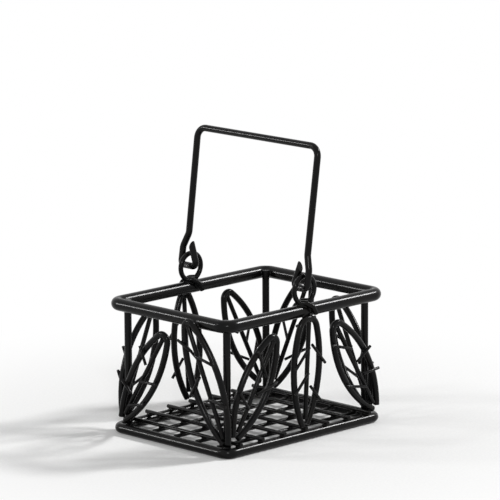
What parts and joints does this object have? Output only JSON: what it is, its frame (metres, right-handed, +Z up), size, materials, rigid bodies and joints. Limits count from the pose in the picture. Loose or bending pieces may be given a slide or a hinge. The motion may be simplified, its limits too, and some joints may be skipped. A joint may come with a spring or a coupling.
{
  "type": "sugar packet holder",
  "caption": "Small rectangular basket of welded black wire with leaf shapes in its sides and a swinging bail handle, for holding sugar packets on a table.",
  "frame": {"origin": "centre of the basket on the plane it stands on", "axes": "+Z up, X along the long sides, Y along the short sides; the handle leans towards +X"},
  "size_m": [0.1147, 0.0884, 0.1404],
  "materials": {
    "black_coated_wire": "smooth black powder coat, semi-gloss"
  },
  "bodies": {
    "basket": {"rim": "black_coated_wire", "base_frame": "black_coated_wire", "post_front_left": "black_coated_wire", "post_front_right": "black_coated_wire", "post_back_right": "black_coated_wire", "post_back_left": "black_coated_wire", "floor_cross_1": "black_coated_wire", "floor_cross_2": "black_coated_wire", "floor_cross_3": "black_coated_wire", "floor_cross_4": "black_coated_wire", "floor_cross_5": "black_coated_wire", "floor_cross_6": "black_coated_wire", "floor_cross_7": "black_coated_wire", "floor_long_1": "black_coated_wire", "floor_long_2": "black_coated_wire", "floor_long_3": "black_coated_wire", "floor_long_4": "black_coated_wire", "floor_long_5": "black_coated_wire", "leaf_front_left": "black_coated_wire", "leaf_front_centre": "black_coated_wire", "leaf_front_right": "black_coated_wire", "leaf_right_front": "black_coated_wire", "leaf_right_back": "black_coated_wire", "leaf_back_right": "black_coated_wire", "leaf_back_centre": "black_coated_wire", "leaf_back_left": "black_coated_wire", "leaf_left_back": "black_coated_wire", "leaf_left_front": "black_coated_wire", "vein_front_left": "black_coated_wire", "vein_front_centre": "black_coated_wire", "vein_front_right": "black_coated_wire", "vein_right_front": "black_coated_wire", "vein_right_back": "black_coated_wire", "vein_back_right": "black_coated_wire", "vein_back_centre": "black_coated_wire", "vein_back_left": "black_coated_wire", "vein_left_back": "black_coated_wire", "vein_left_front": "black_coated_wire", "side_veins_front_left": "black_coated_wire", "side_veins_front_centre": "black_coated_wire", "side_veins_front_right": "black_coated_wire", "side_veins_right_front": "black_coated_wire", "side_veins_right_back": "black_coated_wire", "side_veins_back_right": "black_coated_wire", "side_veins_back_centre": "black_coated_wire", "side_veins_back_left": "black_coated_wire", "side_veins_left_back": "black_coated_wire", "side_veins_left_front": "black_coated_wire", "eye_front": "black_coated_wire", "eye_back": "black_coated_wire"},
    "bail": {"bail": "black_coated_wire"}
  },
  "joints": [
    {"name": "bail_swing", "type": "hinge", "parent": "basket", "child": "bail", "pos_m": [-0.0015, 0, 0.0732], "axis": [0, 1, 0], "range_deg": [-105, 86]}
  ]
}
